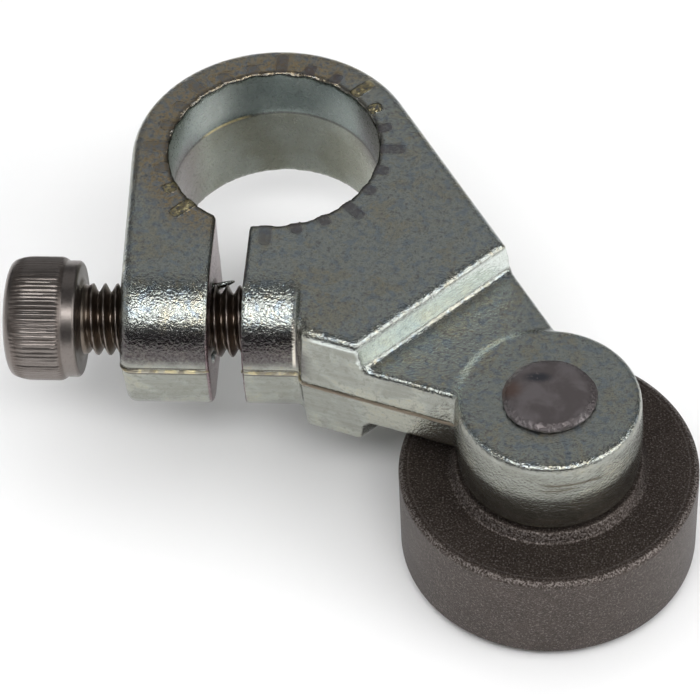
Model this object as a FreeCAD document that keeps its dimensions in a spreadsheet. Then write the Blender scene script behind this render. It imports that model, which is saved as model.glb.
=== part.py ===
"""Clamp-on roller lever: a split, drafted lever with a graduated hub, its clamp screw, and a riveted roller.

Frame: millimetres, +Z along the clamp bore towards the graduated face, origin in the bore's axis at half
height (the die's parting plane), +X along the clamp screw from its head into the lever, the slot and the lugs
on -Y.
"""
import FreeCAD, Part
import math
import os
import re

import Sketcher
from FreeCAD import Placement, Rotation, Vector

DIMENSIONS = {
    # hub and lugs, measured at the parting plane
    "bore_radius": 8.6,
    "ledge_radius": 8.7,
    "ledge_level": 1.35,
    "hub_half": 5.85,
    "draft_angle": 3.0,
    "ring_radius": 12.1,
    "side_lean": 2.0,
    "lug_front": 19.5,
    "lug_end": 3.1,
    "nose_foot_round": 3.0,
    "slot_left": -4.17,
    "slot_right_back": -1.3,
    "slot_right_front": -1.6,
    # arm and boss
    "arm_angle": 46.7,
    "arm_length": 33.75,
    "right_wall_angle": 60.3,
    "front_wall_angle": 18.0,
    "front_wall_offset": 18.5,
    "arm_half": 3.25,
    "ramp_angle": 45.9,
    "ramp_crest": 20.95,
    "ramp_foot": 21.5,
    "boss_radius": 7.4,
    "boss_top": 3.6,
    "boss_under": 3.9,
    # graduations on the marked face
    "mark_height": 0.15,
    "mark_width": 0.7,
    "long_mark_end": 10.85,
    "short_mark_end": 9.85,
    # clamp screw
    "screw_offset": 14.0,
    "seat_gap_x": 14.96,
    "head_radius": 5.05,
    "head_height": 6.0,
    "collar_radius": 4.75,
    "collar_height": 1.1,
    "shank_radius": 2.95,
    "shank_length": 20.0,
    "socket_flats": 5.0,
    "socket_depth": 3.2,
    "clearance_hole_radius": 3.3,
    "tapped_hole_radius": 3.0,
    "tapped_hole_end": 10.5,
    # roller and its rivet
    "rivet_radius": 3.0,
    "rivet_head_radius": 3.72,
    "rivet_head_height": 0.75,
    "pin_radius": 4.0,
    "pin_flange_radius": 6.0,
    "pin_flange_height": 1.9,
    "roller_radius": 12.0,
    "roller_width": 9.0,
    "roller_bore_radius": 4.05,
    "roller_chamfer": 0.45,
    "collar_face_radius": 7.45,
    "collar_foot_radius": 7.95,
    "collar_step": 0.75,
    "collar_gap": 0.1,
    "roller_recess_radius": 6.6,
    "roller_recess_depth": 2.2,
    # edge rounds
    "hub_edge_round": 0.8,
    "arm_edge_round": 0.5,
    "boss_edge_round": 0.55,
    "boss_under_round": 0.3,
}
MARK_STEP = 15
LONG_MARK_STEP = 45
SLOT_MARK_ANGLES = (240, 255)
PARTS_FOLDER = "parts"


def make_sheet(doc):
    """The spreadsheet of driving dimensions, one aliased cell for each."""
    sheet = doc.addObject("Spreadsheet::Sheet", "Dims")
    for row, (alias, value) in enumerate(DIMENSIONS.items(), start=1):
        sheet.set(f"A{row}", alias)
        sheet.set(f"B{row}", str(value))
        sheet.setAlias(f"B{row}", alias)
    doc.recompute()
    return sheet


def dims(text):
    """An expression in which every alias of the sheet is written out in full."""
    return re.sub(r"[a-z]\w*", lambda word: f"Dims.{word[0]}" if word[0] in DIMENSIONS else word[0], text)


def make_body(doc, label):
    body = doc.addObject("PartDesign::Body", label)
    body.Label = label
    return body


def origin_plane(body, role):
    return next(plane for plane in body.Origin.OriginFeatures if plane.Role == role)


def new_sketch(body, name, role, turn=0.0):
    """A sketch on one of the body's origin planes, turned about the vertical by an angle in degrees."""
    sketch = body.newObject("Sketcher::SketchObject", name)
    sketch.AttachmentSupport = (origin_plane(body, role), [""])
    sketch.MapMode = "FlatFace"
    if turn:
        sketch.AttachmentOffset = Placement(Vector(), Rotation(Vector(0, 1, 0), turn))
    return sketch


def pin_point(sketch, geometry, end, x_text, y_text):
    """Hold one point of the sketch at expressions for its two coordinates."""
    for kind, text in (("DistanceX", x_text), ("DistanceY", y_text)):
        if text is None:
            continue
        index = sketch.addConstraint(Sketcher.Constraint(kind, -1, 1, geometry, end, evaluate(sketch, text)))
        sketch.setExpression(f"Constraints[{index}]", dims(text))


def evaluate(sketch, text):
    """The present value of an expression on the sheet."""
    return float(getattr(sketch.evalExpression(dims(text)), "Value", sketch.evalExpression(dims(text))))


def plan_points(sketch, corners):
    """Points of a sketch from pairs of expressions."""
    return [Vector(evaluate(sketch, x_text), evaluate(sketch, y_text), 0) for x_text, y_text in corners]


def add_lines(sketch, points):
    """Straight lines from each point to the next."""
    return [sketch.addGeometry(Part.LineSegment(start, end), False) for start, end in zip(points, points[1:])]


def close_loop(sketch, pieces):
    """Make the end of each piece meet the start of the next, and the last meet the first."""
    for before, after in zip(pieces, pieces[1:] + pieces[:1]):
        sketch.addConstraint(Sketcher.Constraint("Coincident", before, 2, after, 1))


def add_polygon(sketch, corners):
    """A closed outline of straight lines through corners given as pairs of expressions."""
    points = plan_points(sketch, corners)
    lines = add_lines(sketch, points + points[:1])
    close_loop(sketch, lines)
    for line, (x_text, y_text) in zip(lines, corners):
        pin_point(sketch, line, 1, x_text, y_text)


def add_circle(sketch, x_text, y_text, radius_text):
    centre = Vector(evaluate(sketch, x_text), evaluate(sketch, y_text), 0)
    circle = sketch.addGeometry(Part.Circle(centre, Vector(0, 0, 1), evaluate(sketch, radius_text)), False)
    pin_point(sketch, circle, 3, x_text, y_text)
    index = sketch.addConstraint(Sketcher.Constraint("Radius", circle, evaluate(sketch, radius_text)))
    sketch.setExpression(f"Constraints[{index}]", dims(radius_text))


def add_feature(body, kind, name, sketch, **settings):
    """A sketch-based feature whose text settings are expressions on the sheet."""
    feature = body.newObject(f"PartDesign::{kind}", name)
    feature.Profile = sketch
    for key, value in settings.items():
        if isinstance(value, str) and not key.endswith("Type") and key != "Type":
            feature.setExpression(key, dims(value))
        else:
            setattr(feature, key, value)
    sketch.Visibility = False
    body.Document.recompute()
    return feature


def dress(body, name, radius_text, wanted):
    """A fillet on the edges of the body's present shape that the test picks."""
    base = body.Tip
    picked = [f"Edge{number}" for number, edge in enumerate(base.Shape.Edges, start=1) if wanted(edge)]
    feature = body.newObject("PartDesign::Fillet", name)
    feature.Base = (base, picked)
    feature.setExpression("Radius", dims(radius_text))
    body.Document.recompute()
    if not picked or feature.Shape.isNull() or not feature.Shape.isValid():
        raise ValueError(f"{body.Label}: {name} picked {picked} and made no valid shape")


def middle(edge):
    return edge.valueAt((edge.FirstParameter + edge.LastParameter) / 2)


def must_change(body, feature, sign):
    """Raise if a feature leaves the volume as it was or changes it the wrong way."""
    before = feature.BaseFeature.Shape.Volume if feature.BaseFeature else 0.0
    if (feature.Shape.Volume - before) * sign <= 0:
        raise ValueError(f"{body.Label}: {feature.Name} does not change the solid as it should")


# Corners of the lever's outline at the parting plane, as expressions on the sheet.
BOSS_X = "arm_length * cos(arm_angle )"
BOSS_Y = "- arm_length * sin(arm_angle )"
WALL_RUN = "( front_wall_offset / cos(front_wall_angle ) )"
LEFT_X = "- ring_radius / cos(side_lean ) + lug_front * tan(side_lean )"


def front_wall_y(x_text):
    """Height in the plan of the arm's front wall at a place along X."""
    return f"- {WALL_RUN} - ( {x_text} ) * tan(front_wall_angle )"


def lever_outline(sketch):
    """Hub arc, left side, lug front, arm front wall, arm end and right wall."""
    left_tangent_y = "- ring_radius * sin(side_lean )"
    right_tangent_x = "ring_radius * cos(90 - right_wall_angle )"
    end_x = f"{BOSS_X} - 1.5"
    right_end_x = f"{BOSS_X} + 1.2"
    right_end_y = f"( ring_radius - ( {right_end_x} ) * sin(right_wall_angle ) ) / cos(right_wall_angle )"
    corners = [
        (LEFT_X, "- lug_front"),
        ("lug_end", "- lug_front"),
        ("lug_end + 0.2", front_wall_y("lug_end")),
        (end_x, front_wall_y(end_x)),
        (right_end_x, right_end_y),
    ]
    start_angle = math.radians(90 - evaluate(sketch, "right_wall_angle"))
    end_angle = math.radians(180 + evaluate(sketch, "side_lean"))
    size = evaluate(sketch, "ring_radius")
    circle = Part.Circle(Vector(), Vector(0, 0, 1), size)
    hub = sketch.addGeometry(Part.ArcOfCircle(circle, start_angle, end_angle), False)
    sketch.addConstraint(Sketcher.Constraint("Coincident", hub, 3, -1, 1))
    index = sketch.addConstraint(Sketcher.Constraint("Radius", hub, size))
    sketch.setExpression(f"Constraints[{index}]", dims("ring_radius"))
    pin_point(sketch, hub, 1, right_tangent_x, None)
    pin_point(sketch, hub, 2, None, left_tangent_y)
    arc = sketch.Geometry[hub]
    lines = add_lines(sketch, [arc.EndPoint] + plan_points(sketch, corners) + [arc.StartPoint])
    close_loop(sketch, [hub] + lines)
    for line, (x_text, y_text) in zip(lines[1:], corners):
        pin_point(sketch, line, 1, x_text, y_text)


def both_ways(body, name, up_text, down_text, draw, *shape):
    """Two drafted pads of one outline, up and down from the parting plane."""
    for side, length, downwards in (("Upper", up_text, False), ("Lower", down_text, True)):
        sketch = new_sketch(body, f"{name}{side}Sketch", "XY_Plane")
        draw(sketch, *shape)
        add_feature(body, "Pad", f"{name}{side}", sketch, Length=length, Reversed=downwards,
                    TaperAngle="- draft_angle")


def thin_the_arm(body):
    """Cut the arm down beyond the ramps, on both sides of the parting plane."""
    sketch = new_sketch(body, "RampSketch", "XZ_Plane", -evaluate(body, "ramp_angle"))
    for sign in ("", "-"):
        add_polygon(sketch, [
            ("ramp_crest", f"{sign} hub_half"),
            ("ramp_crest", f"{sign} ( hub_half + 2 )"),
            ("arm_length + 20", f"{sign} ( hub_half + 2 )"),
            ("arm_length + 20", f"{sign} arm_half"),
            ("ramp_foot", f"{sign} arm_half"),
        ])
    ramps = add_feature(body, "Pocket", "Ramps", sketch, Length="80", SideType="Symmetric")
    must_change(body, ramps, -1)


def round_the_lugs(body):
    """Take the lugs' upper ends back to a round nose that springs from the parting plane."""
    sketch = new_sketch(body, "NoseSketch", "YZ_Plane")
    half = evaluate(sketch, "hub_half")
    centre = Vector(half - evaluate(sketch, "lug_front"), 0, 0)
    quarter = Part.ArcOfCircle(Part.Circle(centre, Vector(0, 0, 1), half), math.pi / 2, math.pi)
    arc = sketch.addGeometry(quarter, False)
    outer = [
        ("- lug_front", "0"),
        ("- lug_front - 6", "0"),
        ("- lug_front - 6", "hub_half + 2"),
        ("- lug_front + hub_half", "hub_half + 2"),
        ("- lug_front + hub_half", "hub_half"),
    ]
    lines = add_lines(sketch, plan_points(sketch, outer))
    close_loop(sketch, [arc] + lines)
    for line, (x_text, y_text) in zip(lines, outer):
        pin_point(sketch, line, 1, x_text, y_text)
    pin_point(sketch, lines[-1], 2, *outer[-1])
    pin_point(sketch, arc, 3, "- lug_front + hub_half", None)
    nose = add_feature(body, "Pocket", "NoseTop", sketch, Length="30", Length2="lug_end",
                       SideType="Two sides")
    must_change(body, nose, -1)


def cut_through(body, name, draw, *shape):
    """Cut a plan shape right through the body."""
    sketch = new_sketch(body, f"{name}Sketch", "XY_Plane")
    draw(sketch, *shape)
    pocket = add_feature(body, "Pocket", name, sketch, Length="40", SideType="Symmetric")
    must_change(body, pocket, -1)


def add_marks(body):
    """Raised graduations round the bore: a short one at every step, a long one at every third."""
    for kind, end_text, wanted in (("Long", "long_mark_end", True), ("Short", "short_mark_end", False)):
        sketch = new_sketch(body, f"{kind}MarksSketch", "XY_Plane")
        sketch.AttachmentOffset = Placement(Vector(0, 0, DIMENSIONS["hub_half"] - 0.1), Rotation())
        for angle in range(0, 360, MARK_STEP):
            is_long = angle % LONG_MARK_STEP == 0
            if is_long != wanted or angle in SLOT_MARK_ANGLES:
                continue
            along = f"cos({angle} )"
            across = f"sin({angle} )"
            inner = "( ledge_radius + 0.05 )"
            corners = []
            for reach, side in ((inner, "-"), (end_text, "-"), (end_text, "+"), (inner, "+")):
                corners.append((
                    f"{reach} * {along} {'+' if side == '-' else '-'} mark_width / 2 * {across}",
                    f"{reach} * {across} {side} mark_width / 2 * {along}",
                ))
            add_polygon(sketch, corners)
        pad = add_feature(body, "Pad", f"{kind}Marks", sketch, Length="mark_height + 0.1")
        must_change(body, pad, 1)


def make_lever(doc):
    """The lever: one drafted solid with its hub, two lugs, stepped arm and roller boss."""
    body = make_body(doc, "lever_body")
    both_ways(body, "Plate", "hub_half", "hub_half", lever_outline)
    thin_the_arm(body)
    soften_plate(body)
    both_ways(body, "Boss", "boss_top", "boss_under", add_circle, BOSS_X, BOSS_Y, "boss_radius")
    dress(body, "BossTopEdge", "boss_edge_round", lambda edge: lies_at(edge, DIMENSIONS["boss_top"]))
    dress(body, "BossUnderEdge", "boss_under_round", lambda edge: lies_at(edge, -DIMENSIONS["boss_under"]))
    cut_through(body, "Bore", add_circle, "0", "0", "bore_radius")
    slot = [("slot_left", "- bore_radius * 0.5"), ("slot_left", "- lug_front - 4"),
            ("slot_right_front", "- lug_front - 4"), ("slot_right_back", "- bore_radius * 0.5")]
    cut_through(body, "Slot", add_polygon, slot)
    upper = new_sketch(body, "LedgeSketch", "XY_Plane")
    upper.AttachmentOffset = Placement(Vector(0, 0, DIMENSIONS["ledge_level"]), Rotation())
    add_circle(upper, "0", "0", "ledge_radius")
    must_change(body, add_feature(body, "Pocket", "Ledge", upper, Length="20", Reversed=True), -1)
    add_marks(body)
    cut_through(body, "RivetHole", add_circle, BOSS_X, BOSS_Y, "rivet_radius")
    middle_of_slot = "- 2.8"
    for name, radius, start, end in (("ClearanceHole", "clearance_hole_radius", "- 20", middle_of_slot),
                                     ("TappedHole", "tapped_hole_radius", middle_of_slot, "tapped_hole_end")):
        hole = new_sketch(body, f"{name}Sketch", "YZ_Plane")
        hole.AttachmentOffset = Placement(Vector(0, 0, evaluate(hole, start)), Rotation())
        add_circle(hole, "- screw_offset", "0", radius)
        drilled = add_feature(body, "Pocket", name, hole, Length=f"( {end} ) - ( {start} )", Reversed=True)
        must_change(body, drilled, -1)
    return body


def lies_at(edge, level):
    """Whether an edge lies in a horizontal plane at the given level."""
    ends = [vertex.Z for vertex in edge.Vertexes]
    return all(abs(end - level) < 1e-3 for end in ends) and abs(middle(edge).z - level) < 1e-3


def soften_plate(body):
    """Round the plate's edges while its lugs are whole: nose foot, marked face, underside, arm and ramps."""
    half = DIMENSIONS["hub_half"]
    thin = DIMENSIONS["arm_half"]
    lug_end = DIMENSIONS["lug_end"]

    def on_lugs(point):
        return point.x < lug_end + 0.1 and point.y < half - DIMENSIONS["lug_front"] + 0.65

    def inside_boss(point):
        return math.hypot(point.x - evaluate(body, BOSS_X), point.y - evaluate(body, BOSS_Y)) < 4

    dress(body, "NoseFoot", "nose_foot_round",
          lambda edge: lies_at(edge, -half) and middle(edge).x < lug_end - 0.2 and middle(edge).y < -18.2)
    round_the_lugs(body)
    dress(body, "MarkedFaceEdges", "hub_edge_round",
          lambda edge: lies_at(edge, half) and (not on_lugs(middle(edge)) or middle(edge).x < -11))
    dress(body, "UndersideArc", "hub_edge_round", lambda edge: lies_at(edge, -half) and middle(edge).y > 0)
    dress(body, "UndersideEdges", "hub_edge_round",
          lambda edge: lies_at(edge, -half) and (middle(edge).x > lug_end + 0.5 or middle(edge).y > -12))
    for side, level in (("Under", -thin), ("Upper", thin)):
        dress(body, f"Arm{side}Edges", "arm_edge_round",
              lambda edge: lies_at(edge, level) and edge.Length > 8 and not inside_boss(middle(edge)))


def make_screw(doc):
    """Socket-head clamp screw: knurled head on a plain collar, its threaded shank at the outer radius."""
    body = make_body(doc, "clamp_screw")
    sketch = new_sketch(body, "ProfileSketch", "XY_Plane")
    add_polygon(sketch, [
        ("- seat_gap_x - head_height", "0"),
        ("- seat_gap_x - head_height", "head_radius - 0.7"),
        ("- seat_gap_x - head_height + 0.2", "head_radius - 0.2"),
        ("- seat_gap_x - head_height + 0.7", "head_radius"),
        ("- seat_gap_x - collar_height - 0.3", "head_radius"),
        ("- seat_gap_x - collar_height", "collar_radius"),
        ("- seat_gap_x - 0.2", "collar_radius"),
        ("- seat_gap_x", "collar_radius - 0.2"),
        ("- seat_gap_x", "shank_radius + 0.3"),
        ("- seat_gap_x + 0.3", "shank_radius"),
        ("- seat_gap_x + shank_length - 0.6", "shank_radius"),
        ("- seat_gap_x + shank_length", "shank_radius - 0.6"),
        ("- seat_gap_x + shank_length", "0"),
    ])
    add_feature(body, "Revolution", "Turned", sketch, ReferenceAxis=(sketch, ["H_Axis"]), Angle=360.0)
    socket = new_sketch(body, "SocketSketch", "YZ_Plane")
    head_end = -DIMENSIONS["seat_gap_x"] - DIMENSIONS["head_height"]
    socket.AttachmentOffset = Placement(Vector(0, 0, head_end), Rotation())
    corner = "( socket_flats / 2 / cos(30 ) )"
    corners = [(f"{corner} * cos({angle} )", f"{corner} * sin({angle} )") for angle in range(30, 390, 60)]
    add_polygon(socket, corners)
    must_change(body, add_feature(body, "Pocket", "Socket", socket, Length="socket_depth", Reversed=True), -1)
    body.setExpression("Placement.Base.y", dims("- screw_offset"))
    return body


def make_roller(doc):
    """The roller: a plain rim between two raised collars, bored for the pin and recessed for its flange."""
    body = make_body(doc, "roller")
    sketch = new_sketch(body, "ProfileSketch", "XZ_Plane")
    top = "( - boss_under - collar_gap - collar_step )"
    low = f"( {top} - roller_width )"
    add_polygon(sketch, [
        ("roller_bore_radius", f"{top} + collar_step"),
        ("collar_face_radius", f"{top} + collar_step"),
        ("collar_foot_radius", top),
        ("roller_radius - roller_chamfer", top),
        ("roller_radius", f"{top} - roller_chamfer / 2"),
        ("roller_radius", f"{low} + roller_chamfer / 2"),
        ("roller_radius - roller_chamfer", low),
        ("collar_foot_radius", low),
        ("collar_face_radius", f"{low} - collar_step"),
        ("roller_recess_radius", f"{low} - collar_step"),
        ("roller_recess_radius", f"{low} - collar_step + roller_recess_depth"),
        ("roller_bore_radius", f"{low} - collar_step + roller_recess_depth"),
    ])
    add_feature(body, "Revolution", "Turned", sketch, ReferenceAxis=(sketch, ["V_Axis"]), Angle=360.0)
    place_on_boss(body)
    return body


def make_rivet(doc):
    """The roller's rivet: peened head over the boss, stepped pin, and a flange in the roller's recess."""
    body = make_body(doc, "roller_rivet")
    sketch = new_sketch(body, "ProfileSketch", "XZ_Plane")
    low = "( - boss_under - collar_gap - roller_width - 2 * collar_step )"
    ledge = f"( {low} + roller_recess_depth - 0.1 )"
    add_polygon(sketch, [
        ("0", "boss_top + rivet_head_height"),
        ("rivet_head_radius * 0.6", "boss_top + rivet_head_height * 0.9"),
        ("rivet_head_radius * 0.92", "boss_top + rivet_head_height * 0.6"),
        ("rivet_head_radius", "boss_top + rivet_head_height * 0.2"),
        ("rivet_head_radius * 0.97", "boss_top"),
        ("rivet_radius", "boss_top"),
        ("rivet_radius", "- boss_under"),
        ("pin_radius", "- boss_under"),
        ("pin_radius", ledge),
        ("pin_flange_radius", ledge),
        ("pin_flange_radius", f"{ledge} - pin_flange_height + 0.4"),
        ("pin_flange_radius - 0.4", f"{ledge} - pin_flange_height"),
        ("0", f"{ledge} - pin_flange_height"),
    ])
    add_feature(body, "Revolution", "Turned", sketch, ReferenceAxis=(sketch, ["V_Axis"]), Angle=360.0)
    place_on_boss(body)
    return body


def place_on_boss(body):
    """Stand a turned piece on the roller's axis."""
    body.setExpression("Placement.Base.x", dims(BOSS_X))
    body.setExpression("Placement.Base.y", dims(BOSS_Y))


def check_and_export(doc, pieces):
    """Stop on any failed object or broken solid, then write one STEP file for each piece."""
    doc.recompute()
    for item in doc.Objects:
        if "Invalid" in item.State or "Error" in item.State:
            raise ValueError(f"{item.Name} failed: {item.State}")
    os.makedirs(PARTS_FOLDER, exist_ok=True)
    for piece in pieces:
        shape = piece.Shape
        if shape.isNull() or not shape.isValid():
            raise ValueError(f"{piece.Label} has no valid shape")
        print(f"{piece.Label}: {shape.Volume:.1f} mm3, solids {len(shape.Solids)}, box {shape.BoundBox}")
        shape.exportStep(os.path.join(PARTS_FOLDER, f"{piece.Label}.step"))


def main():
    doc = FreeCAD.newDocument("RollerLever")
    make_sheet(doc)
    pieces = [make_lever(doc), make_screw(doc), make_roller(doc), make_rivet(doc)]
    check_and_export(doc, pieces)


main()
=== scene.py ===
"""Looks of a clamp-on roller lever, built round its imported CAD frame.

The frame's own axes: +Z along the clamp bore towards the graduated face, +X along the clamp screw
from its head into the lever, and the slot with its two lugs on -Y. Sizes in the scene are in
metres, and shapes are worked out in millimetres.
"""
import math

import bmesh
import bpy
import numpy as np
from mathutils import Matrix, Vector


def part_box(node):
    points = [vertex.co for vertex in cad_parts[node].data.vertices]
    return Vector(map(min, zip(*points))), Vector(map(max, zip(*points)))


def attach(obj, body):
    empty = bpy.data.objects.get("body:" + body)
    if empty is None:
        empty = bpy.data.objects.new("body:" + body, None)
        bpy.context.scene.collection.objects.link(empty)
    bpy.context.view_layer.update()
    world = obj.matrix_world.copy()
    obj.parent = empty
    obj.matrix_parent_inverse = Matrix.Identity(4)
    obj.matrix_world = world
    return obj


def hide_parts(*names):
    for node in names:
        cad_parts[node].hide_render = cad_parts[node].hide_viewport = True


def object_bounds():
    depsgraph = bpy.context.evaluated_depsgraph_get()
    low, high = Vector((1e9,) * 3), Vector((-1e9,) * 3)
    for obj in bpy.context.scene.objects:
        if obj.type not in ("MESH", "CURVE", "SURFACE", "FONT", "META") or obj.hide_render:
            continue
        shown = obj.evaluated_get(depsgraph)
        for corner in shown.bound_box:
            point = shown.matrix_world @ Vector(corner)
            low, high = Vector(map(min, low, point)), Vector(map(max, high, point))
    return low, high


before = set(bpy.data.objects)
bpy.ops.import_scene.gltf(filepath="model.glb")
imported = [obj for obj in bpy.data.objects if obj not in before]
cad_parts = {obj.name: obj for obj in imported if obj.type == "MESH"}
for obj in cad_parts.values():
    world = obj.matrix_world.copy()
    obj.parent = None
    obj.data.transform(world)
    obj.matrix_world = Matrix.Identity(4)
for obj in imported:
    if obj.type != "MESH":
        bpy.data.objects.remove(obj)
CAD_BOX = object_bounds()

bl_info = {
    "name": "Clamp-on roller lever",
    "version": (1, 0, 0),
    "blender": (4, 5, 0),
    "location": "3D View > Sidebar > Roller Lever",
    "description": "Builds a die-cast roller lever, its clamp screw and roller, and a plain stage",
    "category": "Object",
}

MM = 0.001
FULL_TURN = 2 * math.pi


def centre_of(node):
    """Middle of a CAD node's box, in millimetres."""
    low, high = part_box(node)
    return np.array((low + high) / 2) / MM


def end_of(node, axis, high):
    """One face of a CAD node's box along an axis, in millimetres."""
    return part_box(node)[1 if high else 0][axis] / MM


ROLLER_CENTRE = centre_of("roller")
SCREW_CENTRE = centre_of("clamp_screw")
SCREW_HEAD_END = end_of("clamp_screw", 0, False)
SCREW_TIP = end_of("clamp_screw", 0, True)
ROLLER_LOW = end_of("roller", 2, False)
ROLLER_HIGH = end_of("roller", 2, True)
RIVET_LOW = end_of("roller_rivet", 2, False)
RIVET_HIGH = end_of("roller_rivet", 2, True)
MARK_HEIGHT = 0.15
MARKED_FACE = end_of("lever_body", 2, True) - MARK_HEIGHT

# The casting's outline at its parting plane, in millimetres and radians, as its CAD part draws it.
HUB_RADIUS = 12.1
HALF_HEIGHT = 5.85
LUG_FRONT = 19.5
SLOT_LEFT, SLOT_RIGHT = -4.17, -1.6
LUG_RIGHT = 3.1
SIDE_LEAN = math.radians(2.0)
DRAFT = math.radians(3.0)
ARM_BACK_TURN = math.radians(90 - 60.3)
ARM_FRONT_SLOPE = math.radians(18.0)
ARM_FRONT_REACH = 18.5
ARM_FRONT_END = 17.2
HOLE_FRONT, HOLE_BACK = -17.6, -10.4

# The camera, in degrees, millimetres and millimetres of lens on a sensor.
CAMERA_AZIMUTH, CAMERA_ELEVATION, CAMERA_ROLL = 5.79, 49.08, -3.44
CAMERA_RIGHT, CAMERA_DOWN, CAMERA_DISTANCE = -6.07, -12.89, 275.5
CAMERA_SENSOR = 36.0
CAMERA_LENS = 168.658


# ------------------------------------------------ sizes and colours that a user would change

def length(name, millimetres, description):
    return bpy.props.FloatProperty(name=name, description=description, default=millimetres * MM,
                                   precision=5, unit="LENGTH")


def colour(name, value, description):
    return bpy.props.FloatVectorProperty(name=name, description=description, default=value,
                                         size=3, min=0.0, max=1.0, subtype="COLOR")


class LeverSizes(bpy.types.PropertyGroup):
    """Sizes of the cast lever's skin, its parting flash and its burr."""
    cell: length("Skin cell", 0.245, "Size of the cells that the cast skin is rebuilt from")
    corner: length("Lug corner", 1.0, "Round between the left lug's side and its nose")
    foot: length("Lug foot", 2.0, "Round along the left lug's foot, under its side")
    flash_height: length("Flash height", 0.13, "How far the flash stands out of the noses")
    flash_half: length("Flash half width", 0.17, "Half the thickness of the flash on the noses")
    burr_length: length("Burr length", 1.8, "Length of the burr on the left lug's screw hole")


class ScrewSizes(bpy.types.PropertyGroup):
    """Sizes of the clamp screw."""
    head: length("Head radius", 5.05, "Radius over the knurl")
    collar: length("Collar radius", 4.75, "Radius of the plain collar under the knurl")
    collar_length: length("Collar length", 1.1, "Length of the plain collar")
    head_length: length("Head length", 6.0, "Height of the head")
    head_round: length("Head round", 1.3, "Round between the head's end and its knurl")
    crest: length("Thread crest", 2.93, "Outer radius of the thread")
    root: length("Thread root", 2.25, "Inner radius of the thread")
    pitch: length("Thread pitch", 1.0, "Advance of the thread in one turn")
    socket_half: length("Socket half width", 2.5, "Half the distance across the socket's flats")
    socket_depth: length("Socket depth", 3.2, "Depth of the socket")
    knurl_depth: length("Knurl depth", 0.11, "Depth of the knurl's grooves")
    knurls: bpy.props.IntProperty(name="Knurls", description="Number of ribs round the head",
                                  default=84)


class RollerSizes(bpy.types.PropertyGroup):
    """Sizes of the roller and its rivet."""
    rim: length("Rim radius", 12.0, "Radius of the rolling face")
    chamfer: length("Rim chamfer", 0.45, "Width of the chamfer between a face and the rim")
    collar_face: length("Collar face radius", 7.45, "Radius of the raised collar at its face")
    collar_foot: length("Collar foot radius", 7.95, "Radius of the raised collar at its foot")
    collar_step: length("Collar step", 0.75, "Height of the raised collars")
    bore: length("Bore radius", 4.05, "Radius of the roller's bore")
    recess: length("Recess radius", 6.6, "Radius of the recess under the roller")
    recess_depth: length("Recess depth", 2.2, "Depth of the recess under the roller")
    pin: length("Pin radius", 4.0, "Radius of the rivet's pin in the roller")
    shank: length("Shank radius", 3.0, "Radius of the rivet's shank in the boss")
    peen: length("Peened head radius", 3.72, "Radius of the rivet's peened head")
    peen_height: length("Peened head height", 0.75, "Height of the rivet's peened head")
    flange: length("Flange radius", 6.0, "Radius of the rivet's flange in the recess")
    flange_height: length("Flange height", 1.9, "Height of the rivet's flange")


class Finishes(bpy.types.PropertyGroup):
    """Colours of the metals and the stage."""
    cast: colour("Plated casting", (0.46, 0.495, 0.465), "Zinc-plated casting")
    cast_warm: colour("Yellow passivation", (0.50, 0.43, 0.27), "Warm patches of the plating")
    cast_dark: colour("Dark plating", (0.16, 0.14, 0.165), "Purple-grey specks of the plating")
    # Also the colour of painted yellow highlights on the graduations, the bore's step and the
    # flash.
    gold_and_highlight: colour("Bright passivation", (0.80, 0.70, 0.40), "Raised edges plated bright yellow")
    rust: colour("Brown passivation", (0.50, 0.37, 0.20), "Brown film between the graduations")
    steel: colour("Screw steel", (0.230, 0.205, 0.190), "Satin stainless steel")
    roller: colour("Roller steel", (0.062, 0.048, 0.041), "Browned sintered steel")
    # Also painted along the roller's edges as a highlight.
    roller_bright_and_sheen: colour("Worn roller steel", (0.32, 0.285, 0.265), "The roller's worn edges")
    rivet: colour("Rivet steel", (0.21, 0.185, 0.185), "Peened rivet steel")
    floor: colour("Floor", (0.90, 0.90, 0.90), "Plain pale floor")


# ------------------------------------------------ shader expressions

class Value:
    """A number that changes over a surface. Expressions on values add Math nodes."""

    def __init__(self, shader, socket):
        self.shader = shader
        self.socket = socket

    def _math(self, operation, *values):
        node = self.shader.node("ShaderNodeMath", {"operation": operation}, values)
        return Value(self.shader, node.outputs[0])

    def __add__(self, other):
        return self._math("ADD", self, other)

    def __sub__(self, other):
        return self._math("SUBTRACT", self, other)

    def __rsub__(self, other):
        return self._math("SUBTRACT", other, self)

    def __mul__(self, other):
        return self._math("MULTIPLY", self, other)

    def __truediv__(self, other):
        return self._math("DIVIDE", self, other)

    def __abs__(self):
        return self._math("ABSOLUTE", self)

    __radd__ = __add__
    __rmul__ = __mul__

    def sine(self):
        return self._math("SINE", self)

    def most(self, other):
        return self._math("MAXIMUM", self, other)

    def rise(self, start, stop):
        """0 before start and 1 after stop, with a smooth step between; a start after the stop falls
        instead."""
        node = self.shader.node("ShaderNodeMapRange", {"interpolation_type": "SMOOTHSTEP"},
                                [self, start, stop, 0.0, 1.0])
        return Value(self.shader, node.outputs[0])

    def band(self, low, high, soft):
        """1 between low and high, falling to 0 over a soft edge on either side."""
        return self.rise(low - soft, low + soft) * self.rise(high + soft, high - soft)


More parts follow.
